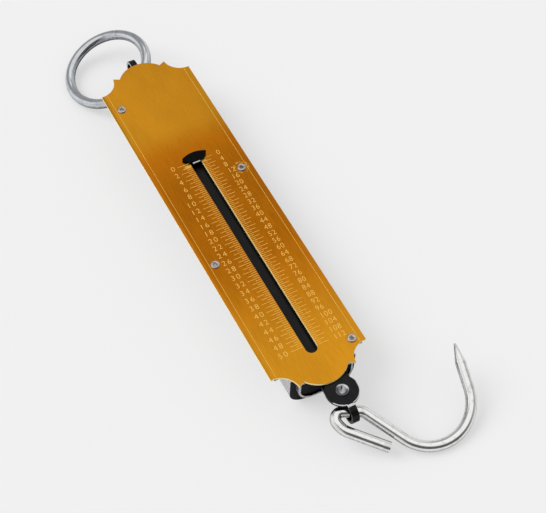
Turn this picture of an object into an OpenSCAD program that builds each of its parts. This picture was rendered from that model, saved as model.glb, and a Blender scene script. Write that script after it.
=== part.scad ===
// Pocket spring balance. It lies on the flat back of its casing, with the face up (+Z),
// the ring towards +Y and the hook towards -Y. Z = 0 is the casing's back, X = 0 its middle.

/* [Face plate] */
// Width of the face plate
plate_w = 45; // [44:1:56]
// Length of the plate's straight sides
side_len = 172; // [168:1:176]
// Thickness of the plate
plate_t = 1; // [0.8:0.1:1.4]
// Height of the plate's face above the casing's back
face_z = 20; // [19.5:0.25:24]
// Distance of the scallop's points from the centre line
cusp_x = 13.3; // [12.5:0.1:14.5]
// How far the scallop's points stand beyond the straight sides
cusp_out = 8; // [7:0.5:9]
// Half width of the round end where it meets the points
notch_x = 10.4; // [9.5:0.1:11.5]
// How far that meeting lies beyond the straight sides
notch_out = 6.6; // [6:0.1:7]
// Radius of the round end
end_r = 13; // [12.5:0.1:14]
// Radius of the hollow between a corner and its point
scallop_r = 8.6; // [7:0.1:12]
// Width of the slot
slot_w = 5.4; // [5:0.1:7]
// Distance of the slot's lower end from the end of the plate's straight sides
slot_in = 3.9; // [3:0.1:5]

/* [Casing] */
// Width of the casing outside
case_w = 30.8; // [30:0.2:34]
// Radius of the casing's long edges outside
case_r = 9; // [6:0.5:9.4]
// Thickness of the casing's sheet
case_t = 1; // [0.8:0.1:1.2]
// Width over the two side flanges
flange_w = 41.6; // [40:0.2:43]
// How far the casing's upper end stands beyond the plate's straight sides
case_top_out = 1.6; // [1:0.2:4]
// How far the casing's lower end stands beyond the plate's straight sides
case_low_out = 4; // [3:0.2:6]

/* [Eyelets] */
// Distance of the eyelets from the centre line
eyelet_x = 17.3; // [16.8:0.1:18.2]
// Distance of the upper eyelet from the end of the straight sides
eyelet_top_in = 11.2; // [8:0.1:14]
// Distance of the lower eyelet from the end of the straight sides
eyelet_low_in = 2.9; // [2.6:0.1:4]
// Radius of an eyelet's shank
eyelet_r = 1.2; // [1:0.1:1.4]
// Radius of the hole through an eyelet
eyelet_hole_r = 0.8; // [0.5:0.1:0.9]
// Radius of an eyelet's rolled head
eyelet_head_r = 2.15; // [1.9:0.05:2.4]

/* [Lower guide] */
// Width of the D-shaped sleeve
sleeve_w = 25.6; // [24:0.2:26.4]
// Wall of the sleeve
sleeve_t = 1; // [0.8:0.1:1.5]
// Height of the sleeve's underside above the casing's back
sleeve_z = 5; // [4:0.5:7]
// Radius of the sleeve's lower edges outside
sleeve_r = 8; // [6:0.5:9]
// How far the sleeve stands out of the casing
sleeve_out = 3; // [1:0.5:4]
// Length of the sleeve inside the casing
sleeve_in = 2.6; // [2:0.2:2.8]
// How far the bush lies inside the sleeve's rim
bush_recess = 0.7; // [0.4:0.1:1.5]

/* [Slider] */
// Width of the draw bar
bar_w = 13; // [12:0.5:14]
// Thickness of the draw bar
bar_t = 1.8; // [1.4:0.1:2]
// Depth of the bar's front below the plate's back
bar_depth = 1.7; // [1.6:0.1:2.2]
// Sideways place of the bar, which sits a little to one side in its guide
bar_shift = 2; // [0:0.1:2]
// How far the bar's upper end stands above the springs' lower end
bar_over = 7.45; // [7:0.05:9]
// Distance of the pointer's stem below the bar's upper end
stem_back = 9.3; // [8:0.1:9.4]
// Distance of the pointer's stem below the slot's upper end
stem_in = 4.9; // [4:0.1:5]
// Width of the pointer's stem
stem_w = 3.6; // [3:0.1:3.7]
// Thickness of the pointer's sheet
pointer_t = 1; // [0.8:0.1:1.2]
// Gap between the pointer's head and the face
pointer_gap = 0.3; // [0.2:0.1:0.5]
// Width of the pointer's head
head_w = 12; // [10:0.2:13]
// Rise of the pointer's head from its tips to its top
head_h = 1.6; // [1.2:0.1:2.2]
// Drop of the pointer's head from its tips to its underside
head_drop = 4.1; // [3.6:0.1:4.4]
// Distance from the pointer's stem up to its tips
tip_rise = 4; // [3.8:0.1:4.4]
// Sideways place of the pointer's head
head_shift = 0.8; // [0:0.1:1]

/* [Springs] */
// Clearance between a spring and the casing's side wall
coil_side_gap = 0.675; // [0.5:0.025:1.2]
// Least clearance between a spring and the casing's floor
coil_floor_gap = 0.65; // [0.5:0.05:1.2]
// Half of the clearance between the two springs
coil_mid_gap = 0.275; // [0.2:0.025:0.6]
// Diameter of the spring wire
wire_d = 1.65; // [1.4:0.05:1.7]
// Turns of a spring
turns = 20; // [16:1:20]
// Gap between two turns at rest
turn_gap = 0.43; // [0.42:0.01:0.46]

/* [Anchorage] */
// Radius of the cross pin
pin_r = 2; // [1.6:0.1:2.2]
// Distance of the cross pin from the casing's upper end
pin_in = 5.2; // [5:0.1:6]
// Thickness of the anchor plate
anchor_t = 1.5; // [1:0.1:1.6]
// Thickness of the crosshead
crosshead_t = 2; // [1.5:0.1:2]

/* [Ring] */
// Mean radius of the ring
ring_r = 20; // [19:0.5:21]
// Diameter of the ring's wire
ring_wire = 4.8; // [4:0.1:5]
// Gap between the wire's two ends where the ring closes
ring_seam = 0.2; // [0.1:0.05:0.4]
// Place of that gap round the ring
ring_seam_turn = 57; // [30:1:120]
// Sideways place of the ring's centre
ring_x = -9.5; // [-10:0.5:-9]
// Sideways lean of the ring
ring_lean = 20.5; // [19:0.5:21]
// Lengthways lean of the ring
ring_pitch = 2.9; // [2:0.1:4]

/* [Straps] */
// Thickness of both straps
strap_t = 1.3; // [1:0.1:1.4]
// Width of both straps
strap_w = 3.2; // [3:0.1:3.4]
// Clear height inside both eyes
eye_h = 8; // [7.8:0.1:8.2]
// How far the ring's eye stands out of the casing
ring_eye_out = 17.6; // [15:0.1:20]
// Radius of the swivel's front disc
disc_r = 7.3; // [6.5:0.1:7.5]
// Distance from the swivel's rivet to the end of its eye
hook_eye_out = 12.8; // [12.8:0.1:16]
// Distance from the casing's lower end to the swivel's rivet
rivet_out = 12.6; // [12:0.1:14]
// Radius of the swivel rivet's shank
rivet_r = 2.4; // [2:0.1:2.5]
// Radius of the hole through the swivel rivet
rivet_hole_r = 1.75; // [1.2:0.05:1.9]
// Radius of the swivel rivet's rolled head
rivet_head_r = 3; // [2.8:0.1:3.4]
// Radius of the swivel rivet's rear flange
rivet_tail_r = 2.8; // [2.6:0.05:2.85]

/* [Hook] */
// Diameter of the hook's wire
hook_wire = 4.8; // [4.4:0.1:4.9]
// Distance from the swivel's rivet to the wire in the eye
hook_seat = 6.9; // [6.9:0.1:7.1]
// Slant of the wire through the eye
cross_turn = 22; // [18:0.5:23]
// How far below the seat the slanting wire passes the eye's middle
cross_drop = 0.6; // [0.6:0.05:0.7]
// Length of the slanting wire towards the free leg, from the eye's middle
cross_leg = 3.4; // [2.6:0.1:3.6]
// Length of the slanting wire towards the shank, from the eye's middle
cross_shank = 4.2; // [3.6:0.1:4.6]
// Mean radius of the tight bend at the free leg
leg_bend_r = 3; // [2.8:0.1:3.4]
// Direction in which the tight bend ends
leg_bend_turn = 105; // [95:1:120]
// Length of the straight wire between the tight and the wide bend
leg_mid_len = 0.8; // [0.6:0.1:1.6]
// Mean radius of the wide bend at the free leg
leg_sweep_r = 9; // [6:0.5:12]
// Direction of the free leg, from straight across
leg_turn = 136.4; // [132:0.2:138]
// Length of the straight free leg
leg_len = 18.4; // [14:0.2:22]
// Mean radius of the bend at the shank
shank_bend_r = 4; // [3:0.1:5]
// Direction of the shank, from straight across
shank_turn = 57.5; // [55:0.5:60]
// Mean radius of the hook's bowl
bowl_r = 19.5; // [18:0.1:21]
// Lowest line of the bowl, measured from the eye along the hook
bowl_s = 28.6; // [27:0.1:30]
// Lean of the straight tip
tip_turn = 9; // [6:0.5:12]
// Length of the straight tip with its point
tip_len = 19.8; // [16:0.2:22]
// Length of the conical point
point_len = 8.2; // [5:0.1:10]

/* [Hidden] */
$fn = 96;

running_gap = 0.05;
sliding_gap = 0.15;
strap_gap = 0.1;
over = 1;

half_side = side_len / 2;
case_top = half_side + case_top_out;
case_low = half_side + case_low_out;
end_centre_y = half_side + notch_out - sqrt(end_r * end_r - notch_x * notch_x);
plate_back = face_z - plate_t;
flange_z = plate_back - case_t;
eyelet_left = [[-1, half_side - eyelet_top_in], [-1, -23.8]];
eyelet_right = [[1, 19.3], [1, eyelet_low_in - half_side]];
eyelet_places = concat(eyelet_left, eyelet_right);
eyelet_tail_r = eyelet_x - case_w / 2 - running_gap;
tail_t = 0.5;

slot_r = slot_w / 2;
bar_top_z = plate_back - bar_depth;
bar_z = bar_top_z - bar_t;

pin_y = case_top - pin_in;
strap_out_r = eye_h / 2 + strap_t;
strap_z = plate_back - strap_gap - strap_out_r;
strap_pin_r = pin_r + running_gap;
wall_inside_top = case_top - case_t;
pin_head_r = 2.9;
pin_head_t = 0.7;

anchor_y = pin_y - strap_pin_r - strap_t - strap_gap;
steps = 8;
sides = 6;
coil_gap = 0.4;
coil_wide_r = (case_w / 2 - case_t - coil_side_gap - coil_mid_gap) / 2;
coil_high_r = (bar_z - coil_gap - case_t - coil_floor_gap) / 2;
coil_out_r = min(coil_wide_r, coil_high_r);
coil_r = coil_out_r - wire_d / 2;
coil_x = coil_mid_gap + coil_out_r;
coil_z = bar_z - coil_gap - coil_out_r;
coil_len = turns * (wire_d + turn_gap);
spring_top = anchor_y - anchor_t;
spring_low = spring_top - coil_len - 2 * wire_d;
plug_gap = 0.1;
plug_r = coil_r * cos(180 / steps) - wire_d / 2 - plug_gap;
plug_shank_r = 2;
plug_head_r = 3.2;
plug_head_t = 1;
plug_len = 5;
cross_gap = 0.8;
cross_half = case_w / 2 - case_t - cross_gap;
cross_z = case_t + cross_gap;
cross_r = case_r - case_t - cross_gap;
ear_t = 1.5;

lug_t = 1.8;
lug_len = 6.5;
lug_half = 6;
cross_rivet_x = 3.2;
cross_rivet_y = spring_low - crosshead_t - lug_len / 2;
cross_rivet_r = 1.2;
cross_rivet_head_r = 2;
cross_rivet_head_t = 0.8;

bar_top = spring_low + bar_over;
stem_y = bar_top - stem_back;
slot_top = stem_y + stem_in;
slot_low = half_side - slot_in;
slot_len = slot_top + slot_low;
slot_end_gap = 1.4;
travel = slot_len - stem_in - slot_end_gap;
foot_end = bar_top - 1.5;
pointer_rivet_r = 1;
pointer_rivet_y = bar_top - 4.5;

rivet_y = -case_low - rivet_out;
bar_low = rivet_y - rivet_r - 1.4;
bar_corner_r = 4.5;
disc_low_z = bar_top_z + strap_gap;
disc_top_z = disc_low_z + strap_t;
hook_eye_z = disc_top_z - strap_out_r;
hook_eye_y = rivet_y - hook_eye_out + strap_out_r;
tab_top_z = bar_z - strap_gap;
tab_low_z = tab_top_z - strap_t;
tab_r = rivet_r + 1.2;
step_y = rivet_y - rivet_tail_r - 0.1 - strap_t;
rivet_tail_t = 0.5;

hook_r = hook_wire / 2;
hook_y = rivet_y - hook_seat;
hook_z = bar_z - 0.35 - hook_r;
floor_gap = 0.02;
run_in = 0.2;
run_slack = 0.01;
cross_dir = [cos(cross_turn), sin(cross_turn)];
cross_in = [-cross_dir[1], cross_dir[0]];
cross_mid = [bar_shift, cross_drop];
leg_centre = cross_mid - cross_leg * cross_dir + leg_bend_r * cross_in;
shank_centre = cross_mid + cross_shank * cross_dir + shank_bend_r * cross_in;
leg_mid_angle = -90 - leg_bend_turn;
leg_mid_dir = [-cos(leg_bend_turn), sin(leg_bend_turn)];
leg_mid = leg_centre + leg_bend_r * [cos(leg_mid_angle), sin(leg_mid_angle)];
leg_end_angle = -90 - leg_turn;
sweep_centre = leg_mid + leg_mid_len * leg_mid_dir - leg_sweep_r * [cos(leg_mid_angle), sin(leg_mid_angle)];
leg_start = sweep_centre + leg_sweep_r * [cos(leg_end_angle), sin(leg_end_angle)];
leg_dir = [-cos(leg_turn), sin(leg_turn)];
shank_dir = [cos(shank_turn), sin(shank_turn)];
shank_start = shank_centre + shank_bend_r * [shank_dir[1], -shank_dir[0]];
bowl_centre_s = bowl_s - bowl_r;
shank_len = (bowl_centre_s - shank_start[1] + bowl_r * shank_dir[0]) / shank_dir[1];
bowl_start = shank_start + shank_len * shank_dir;
bowl_centre = bowl_start + bowl_r * [shank_dir[1], -shank_dir[0]];
tip_start = bowl_centre + bowl_r * [cos(tip_turn), sin(tip_turn)];
tip_dir = [sin(tip_turn), -cos(tip_turn)];
hook_pitch = asin((hook_z - hook_r - floor_gap) / bowl_s);

ring_wire_r = ring_wire / 2;
ring_seam_angle = 2 * asin(ring_seam / 2 / ring_r);
ring_tilt_x = sin(ring_lean);
ring_tilt_y = sin(ring_pitch);
ring_tilt = asin(sqrt(ring_tilt_x * ring_tilt_x + ring_tilt_y * ring_tilt_y));
ring_turn = atan2(ring_tilt_y, ring_tilt_x);
ring_z = ring_r * sin(ring_tilt) + ring_wire_r + floor_gap + 0.1;
ring_y = case_top + ring_r + ring_wire_r + 0.3;

echo(pin_y = pin_y, strap_z = strap_z, rivet_y = rivet_y, hook_y = hook_y, hook_z = hook_z);
echo(travel = travel, spring_top = spring_top, spring_low = spring_low, lug_low = spring_low - crosshead_t - lug_len);
echo(bush_inner = -case_low + sleeve_in, coil_low_z = coil_z - coil_out_r, hook_pitch = hook_pitch);
echo(hook_pivot = [cross_mid[0], hook_y - cross_drop * cos(hook_pitch), hook_z - cross_drop * sin(hook_pitch)]);
echo(ring_y = ring_y, ring_z = ring_z, ring_tilt = ring_tilt, bowl_centre = bowl_centre);

// An outline drawn in X and Z, carried along Y from y0 up to y1
module along_y(y0, y1) {
    translate([0, y1, 0]) rotate([90, 0, 0]) linear_extrude(y1 - y0) children();
}

// An outline drawn in Y and Z, carried along X and centred on x
module along_x(x, width) {
    translate([x - width / 2, 0, 0]) rotate([90, 0, 90]) linear_extrude(width) children();
}

// A trough outline: straight top corners and round lower corners
module trough(half, low, high, r) {
    translate([-half, low + r]) square([2 * half, high - low - r]);
    translate([-half + r, low]) square([2 * (half - r), high - low]);
    for (side = [-1, 1]) {
        translate([side * (half - r), low + r]) intersection() {
            circle(r);
            translate([-r, -r]) square([2 * r, r + over]);
        }
    }
}

// A round end with its hollows, for the upper end of the plate
module plate_end() {
    corner = [plate_w / 2, half_side];
    cusp = [cusp_x, half_side + cusp_out];
    chord = cusp - corner;
    middle = (cusp + corner) / 2;
    rise = sqrt(scallop_r * scallop_r - norm(chord) * norm(chord) / 4);
    scallop = middle + rise * [-chord[1], chord[0]] / norm(chord) * -1;
    difference() {
        polygon([[-plate_w / 2, half_side - over], [corner[0], half_side - over], corner, cusp,
                 [notch_x, half_side + notch_out], [-notch_x, half_side + notch_out],
                 [-cusp[0], cusp[1]], [-corner[0], corner[1]]]);
        for (side = [-1, 1]) {
            translate([side * scallop[0], scallop[1]]) circle(scallop_r);
        }
    }
    translate([0, end_centre_y]) intersection() {
        circle(end_r);
        translate([-notch_x, 0]) square([2 * notch_x, end_r]);
    }
}

module slot_outline() {
    translate([0, -slot_low + slot_r]) circle(slot_r);
    translate([0, slot_top - slot_r]) circle(slot_r);
    translate([-slot_r, -slot_low + slot_r]) square([slot_w, slot_len - slot_w]);
}

module face_plate() {
    color("goldenrod") translate([0, 0, plate_back]) linear_extrude(plate_t) difference() {
        union() {
            translate([-plate_w / 2, -half_side]) square([plate_w, side_len]);
            plate_end();
            mirror([0, 1]) plate_end();
        }
        slot_outline();
        for (place = eyelet_places) {
            translate([place[0] * eyelet_x, place[1]]) circle(eyelet_r + running_gap);
        }
    }
}

module casing() {
    color("black") difference() {
        union() {
            along_y(-case_low, case_top) trough(case_w / 2, 0, plate_back, case_r);
            translate([-flange_w / 2, -half_side, flange_z]) cube([flange_w, side_len, case_t]);
        }
        along_y(-case_low + case_t, case_top - case_t)
            trough(case_w / 2 - case_t, case_t, plate_back + over, case_r - case_t);
        along_y(-case_low - over, -case_low + case_t + over)
            trough(sleeve_w / 2 + running_gap, sleeve_z - running_gap, plate_back + over,
                   sleeve_r + running_gap);
        translate([-strap_w / 2 - 0.3, case_top - case_t - over, strap_z - strap_out_r - 0.2])
            cube([strap_w + 0.6, case_t + 2 * over, face_z]);
        translate([-case_w, pin_y, strap_z]) rotate([0, 90, 0]) cylinder(r = pin_r + running_gap, h = 2 * case_w);
        for (place = eyelet_places) {
            translate([place[0] * eyelet_x, place[1], flange_z - over])
                cylinder(r = eyelet_r + running_gap, h = case_t + 2 * over);
        }
    }
}

module eyelet_rivets() {
    roll_r = (eyelet_head_r - eyelet_hole_r) / 2;
    color("silver") for (place = eyelet_places) {
        translate([place[0] * eyelet_x, place[1], 0]) {
            difference() {
                union() {
                    translate([0, 0, flange_z - tail_t]) cylinder(r = eyelet_r, h = face_z + roll_r / 2 - flange_z + tail_t);
                    translate([0, 0, flange_z - tail_t]) cylinder(r = eyelet_tail_r, h = tail_t);
                }
                translate([0, 0, flange_z - tail_t - over]) cylinder(r = eyelet_hole_r, h = face_z);
            }
            translate([0, 0, face_z]) rotate_extrude() translate([eyelet_hole_r + roll_r, 0]) intersection() {
                circle(roll_r);
                translate([-roll_r, 0]) square([2 * roll_r, roll_r]);
            }
        }
    }
}

module guide_sleeve() {
    color("lightgray") along_y(-case_low - sleeve_out, -case_low + sleeve_in) difference() {
        trough(sleeve_w / 2, sleeve_z, plate_back - strap_gap, sleeve_r);
        trough(sleeve_w / 2 - sleeve_t, sleeve_z + sleeve_t, plate_back - strap_gap - sleeve_t / 2,
               sleeve_r - sleeve_t);
    }
}

module guide_bush() {
    color("dimgray") along_y(-case_low - sleeve_out + bush_recess, -case_low + sleeve_in) difference() {
        trough(sleeve_w / 2 - sleeve_t, sleeve_z + sleeve_t, plate_back - strap_gap - sleeve_t / 2,
               sleeve_r - sleeve_t);
        translate([bar_shift - bar_w / 2 - sliding_gap, bar_z - sliding_gap])
            square([bar_w + 2 * sliding_gap, bar_t + 2 * sliding_gap]);
    }
}

module anchor_pin() {
    span = case_w;
    color("gray") translate([0, pin_y, strap_z]) rotate([0, 90, 0]) {
        translate([0, 0, -span / 2 - pin_head_t]) cylinder(r = pin_r, h = span + 2 * pin_head_t);
        for (side = [-1, 1]) {
            translate([0, 0, side * (span / 2 + pin_head_t / 2) - pin_head_t / 2])
                cylinder(r = pin_head_r, h = pin_head_t);
        }
    }
}

module anchor_plate() {
    color("silver") difference() {
        union() {
            along_y(spring_top, spring_top + anchor_t)
                trough(cross_half, cross_z, strap_z + pin_r, cross_r);
            for (side = [-1, 1]) {
                translate([side * (cross_half - ear_t / 2) - ear_t / 2, spring_top, strap_z - pin_r - 1.4])
                    cube([ear_t, pin_y + pin_r + 1.4 - spring_top, 2 * pin_r + 2.8]);
            }
        }
        for (side = [-1, 1]) {
            translate([side * coil_x, spring_top - over, coil_z]) rotate([-90, 0, 0])
                cylinder(r = plug_shank_r, h = anchor_t + 2 * over);
        }
        translate([-case_w, pin_y, strap_z]) rotate([0, 90, 0])
            cylinder(r = pin_r + running_gap, h = 2 * case_w);
    }
}

// A plug with its head on one side of a plate and its spigot inside the spring on the other
module plug(plate_at, plate_thick) {
    translate([0, plate_at, 0]) rotate([-90, 0, 0]) cylinder(r = plug_shank_r, h = plate_thick);
    translate([0, plate_at + plate_thick, 0]) rotate([-90, 0, 0]) cylinder(r = plug_head_r, h = plug_head_t);
    translate([0, plate_at - plug_len, 0]) rotate([-90, 0, 0]) cylinder(r = plug_r, h = plug_len);
}

module upper_plugs() {
    color("silver") for (side = [-1, 1]) {
        translate([side * coil_x, 0, coil_z]) plug(spring_top, anchor_t);
    }
}

module lower_plugs() {
    color("silver") for (side = [-1, 1]) {
        translate([side * coil_x, spring_low, coil_z]) mirror([0, 1, 0]) plug(0, crosshead_t);
    }
}

// The closed strap that holds the ring: round at its outer end, tapering to the cross pin
module ring_strap_outline(pin_end_r, half) {
    eye_centre = case_top + ring_eye_out - strap_out_r;
    taper_y = case_top + 0.6;
    translate([eye_centre, 0]) circle(half);
    translate([pin_y, 0]) circle(pin_end_r);
    translate([taper_y, -half]) square([eye_centre - taper_y, 2 * half]);
    polygon([[pin_y, -pin_end_r], [taper_y, -half], [taper_y, half], [pin_y, pin_end_r]]);
}

module ring_strap() {
    color("black") translate([0, 0, strap_z]) along_x(0, strap_w) difference() {
        ring_strap_outline(strap_pin_r + strap_t, eye_h / 2 + strap_t);
        ring_strap_outline(strap_pin_r, eye_h / 2);
    }
}

// Points of a spring's centre line: a straight end, the coil, and a straight end
function coil_radial(turn) = [cos(360 * turn), 0, sin(360 * turn)];
function coil_point(turn) = [0, spring_top - wire_d - turn * coil_len / turns, 0] + coil_r * coil_radial(turn);
function coil_path() = concat(
    [coil_point(0) + [0, wire_d, 0]],
    [for (i = [0 : turns * steps]) coil_point(i / steps)],
    [coil_point(turns) - [0, wire_d, 0]]);
function coil_radials() = concat(
    [coil_radial(0)],
    [for (i = [0 : turns * steps]) coil_radial(i / steps)],
    [coil_radial(turns)]);
function unit(v) = v / norm(v);
function coil_tangent(path, i) =
    let (last = len(path) - 1)
    i == 0 || i == last ? [0, -1, 0] :
    unit(unit(path[i + 1] - path[i]) + unit(path[i] - path[i - 1]));

module spring() {
    path = coil_path();
    radials = coil_radials();
    count = len(path);
    points = [for (i = [0 : count - 1]) let (across = cross(coil_tangent(path, i), radials[i]))
              for (k = [0 : sides - 1]) path[i] + wire_d / 2 * (cos(360 * k / sides) * radials[i]
                                                              + sin(360 * k / sides) * across)];
    walls = [for (i = [0 : count - 2]) for (k = [0 : sides - 1])
             let (a = i * sides + k, b = i * sides + (k + 1) % sides)
             for (face = [[a, a + sides, b + sides], [a, b + sides, b]]) face];
    first = [for (k = [1 : sides - 2]) [0, k, k + 1]];
    final = (count - 1) * sides;
    last = [for (k = [1 : sides - 2]) [final, final + k + 1, final + k]];
    polyhedron(points, concat(walls, first, last));
    gaps = [for (i = [1 : count - steps - 2]) norm(path[i + steps] - path[i]) - wire_d];
    echo(spring_least_gap = min(gaps));
}

module spring_left() {
    color("darkgray") translate([-coil_x, 0, coil_z]) spring();
}

module spring_right() {
    color("darkgray") translate([coil_x, 0, coil_z]) spring();
}

module draw_bar() {
    rivet_xs = [-cross_rivet_x, cross_rivet_x];
    low = bar_low + bar_corner_r;
    color("black") translate([bar_shift, 0, bar_z]) linear_extrude(bar_t) difference() {
        union() {
            translate([-bar_w / 2, low]) square([bar_w, bar_top - low]);
            translate([-bar_w / 2 + bar_corner_r, bar_low]) square([bar_w - 2 * bar_corner_r, 2 * bar_corner_r]);
            for (side = [-1, 1]) {
                translate([side * (bar_w / 2 - bar_corner_r), low]) circle(bar_corner_r);
            }
        }
        translate([0, rivet_y]) circle(rivet_r + running_gap);
        translate([-bar_shift, pointer_rivet_y]) circle(pointer_rivet_r);
        for (x = rivet_xs) {
            translate([x, cross_rivet_y]) circle(cross_rivet_r);
        }
    }
}

// The pointer's head: a lens with two pointed tips, running into its narrow stem
module pointer_head_outline() {
    stem_low = stem_y - pointer_t / 2;
    tip_y = stem_low + tip_rise + pointer_t / 2;
    top_r = (head_w * head_w / 4 + head_h * head_h) / (2 * head_h);
    low_r = (head_w * head_w / 4 + head_drop * head_drop) / (2 * head_drop);
    intersection() {
        translate([head_shift, tip_y + head_h - top_r]) circle(top_r);
        translate([head_shift, tip_y - head_drop + low_r]) circle(low_r);
    }
    translate([-stem_w / 2, stem_low]) square([stem_w, tip_rise]);
}

module pointer() {
    head_z = face_z + pointer_gap;
    color("black") {
        translate([0, 0, head_z]) linear_extrude(pointer_t) pointer_head_outline();
        translate([-stem_w / 2, stem_y - pointer_t / 2, bar_top_z])
            cube([stem_w, pointer_t, head_z + pointer_t - bar_top_z]);
        difference() {
            translate([-stem_w / 2, stem_y - pointer_t / 2, bar_top_z])
                cube([stem_w, foot_end - stem_y + pointer_t / 2, pointer_t]);
            translate([0, pointer_rivet_y, bar_top_z - over]) cylinder(r = pointer_rivet_r, h = pointer_t + 2 * over);
        }
    }
}

module pointer_rivet() {
    color("gray") translate([0, pointer_rivet_y, bar_z]) cylinder(r = pointer_rivet_r, h = bar_t + pointer_t);
}

module crosshead() {
    rivet_xs = [bar_shift - cross_rivet_x, bar_shift + cross_rivet_x];
    color("silver") difference() {
        union() {
            along_y(spring_low - crosshead_t, spring_low) trough(cross_half, cross_z, bar_z, cross_r);
            translate([bar_shift - lug_half, spring_low - crosshead_t - lug_len, bar_z - lug_t])
                cube([2 * lug_half, lug_len + crosshead_t / 2, lug_t]);
        }
        for (side = [-1, 1]) {
            translate([side * coil_x, spring_low - crosshead_t - over, coil_z]) rotate([-90, 0, 0])
                cylinder(r = plug_shank_r, h = crosshead_t + 2 * over);
        }
        for (x = rivet_xs) {
            translate([x, cross_rivet_y, bar_z - lug_t - over]) cylinder(r = cross_rivet_r, h = lug_t + 2 * over);
        }
    }
}

module crosshead_rivets() {
    color("gray") for (side = [-1, 1]) {
        translate([bar_shift + side * cross_rivet_x, cross_rivet_y, bar_z - lug_t]) {
            cylinder(r = cross_rivet_r, h = lug_t + bar_t);
            translate([0, 0, -cross_rivet_head_t]) cylinder(r = cross_rivet_head_r, h = cross_rivet_head_t);
        }
    }
}

// Side view of the swivel's strap: front leg, round eye, rear leg and the step up to the tab
module swivel_side() {
    inner = eye_h / 2;
    floor_z = hook_eye_z - inner;
    difference() {
        union() {
            translate([hook_eye_y, hook_eye_z]) intersection() {
                circle(strap_out_r);
                translate([-strap_out_r, -strap_out_r]) square([strap_out_r, 2 * strap_out_r]);
            }
            translate([hook_eye_y, hook_eye_z + inner]) square([rivet_y - hook_eye_y, strap_t]);
            translate([hook_eye_y, floor_z - strap_t]) square([step_y + strap_t - hook_eye_y, strap_t]);
            translate([step_y, floor_z - strap_t]) square([strap_t, tab_top_z - floor_z + strap_t]);
            translate([step_y, tab_low_z]) square([rivet_y - step_y, strap_t]);
        }
        translate([hook_eye_y, hook_eye_z]) circle(inner);
        translate([hook_eye_y, floor_z]) square([step_y - hook_eye_y, 2 * inner]);
    }
}

module swivel_strap() {
    color("black") difference() {
        union() {
            along_x(bar_shift, strap_w) swivel_side();
            translate([bar_shift, rivet_y, disc_low_z]) cylinder(r = disc_r, h = strap_t);
            translate([bar_shift, rivet_y, tab_low_z]) cylinder(r = tab_r, h = strap_t);
        }
        translate([bar_shift, rivet_y, tab_low_z - over]) cylinder(r = rivet_r, h = face_z);
    }
}

module swivel_rivet() {
    roll_r = (rivet_head_r - rivet_hole_r) / 2;
    color("silver") translate([bar_shift, rivet_y, 0]) {
        difference() {
            union() {
                translate([0, 0, tab_low_z - rivet_tail_t])
                    cylinder(r = rivet_r, h = disc_top_z + roll_r / 2 - tab_low_z + rivet_tail_t);
                translate([0, 0, tab_low_z - rivet_tail_t]) cylinder(r = rivet_tail_r, h = rivet_tail_t);
            }
            translate([0, 0, tab_low_z - rivet_tail_t - over]) cylinder(r = rivet_hole_r, h = face_z);
        }
        translate([0, 0, disc_top_z]) rotate_extrude() translate([rivet_hole_r + roll_r, 0]) intersection() {
            circle(roll_r);
            translate([-roll_r, 0]) square([2 * roll_r, roll_r]);
        }
    }
}

// A bend of round wire in the hook's own plane: X across, Y away from the eye
module wire_bend(centre, r, from, to) {
    translate([centre[0], centre[1], 0]) rotate([0, 0, from])
        rotate_extrude(angle = to - from) translate([r, 0]) circle(hook_r);
}

// A straight run of the same wire, let into the bends at both of its ends
module wire_run(start, heading, length, into_start = run_in, into_end = run_in) {
    translate([start[0], start[1], 0]) rotate([0, 0, atan2(heading[1], heading[0])]) rotate([0, 90, 0])
        translate([0, 0, -into_start]) cylinder(r = hook_r - run_slack, h = length + into_start + into_end);
}

module hook_flat() {
    wire_run(leg_start, leg_dir, leg_len, run_in, 0);
    wire_bend(sweep_centre, leg_sweep_r, leg_end_angle, leg_mid_angle);
    wire_run(leg_mid, leg_mid_dir, leg_mid_len);
    wire_bend(leg_centre, leg_bend_r, leg_mid_angle, cross_turn - 90);
    wire_run(cross_mid - cross_leg * cross_dir, cross_dir, cross_leg + cross_shank);
    wire_bend(shank_centre, shank_bend_r, cross_turn - 90, shank_turn - 90);
    wire_run(shank_start, shank_dir, shank_len);
    wire_bend(bowl_centre, bowl_r, tip_turn, shank_turn + 90);
    wire_run(tip_start, tip_dir, tip_len - point_len, run_in, 0);
    translate([tip_start[0], tip_start[1], 0]) rotate([0, 0, atan2(tip_dir[1], tip_dir[0])])
        rotate([0, 90, 0]) translate([0, 0, tip_len - point_len])
        cylinder(r1 = hook_r - run_slack, r2 = 0.4, h = point_len);
}

module load_hook() {
    color("silver") translate([0, hook_y, hook_z]) rotate([180 + hook_pitch, 0, 0])
        mirror([0, 0, 1]) hook_flat();
}

module hang_ring() {
    color("silver") translate([ring_x, ring_y, ring_z]) rotate([0, 0, -ring_turn]) rotate([0, -ring_tilt, 0])
        rotate([0, 0, ring_seam_turn + ring_seam_angle / 2]) rotate_extrude(angle = 360 - ring_seam_angle)
        translate([ring_r, 0]) circle(ring_wire_r);
}

face_plate();
casing();
eyelet_rivets();
guide_sleeve();
guide_bush();
anchor_pin();
anchor_plate();
upper_plugs();
ring_strap();
spring_left();
spring_right();
draw_bar();
pointer();
pointer_rivet();
crosshead();
crosshead_rivets();
lower_plugs();
swivel_strap();
swivel_rivet();
load_hook();
hang_ring();
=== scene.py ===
"""Looks of a pocket spring balance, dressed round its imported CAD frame.

Lengths are metres in the frame of the CAD part: X runs across the face towards the
pound figures, Y along the body towards the ring, and Z out of the face.
"""

import logging
import math
from dataclasses import dataclass
from enum import Enum, IntEnum
from typing import Callable, Mapping, Sequence

import bmesh
import bpy
from mathutils import Matrix, Vector

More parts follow.
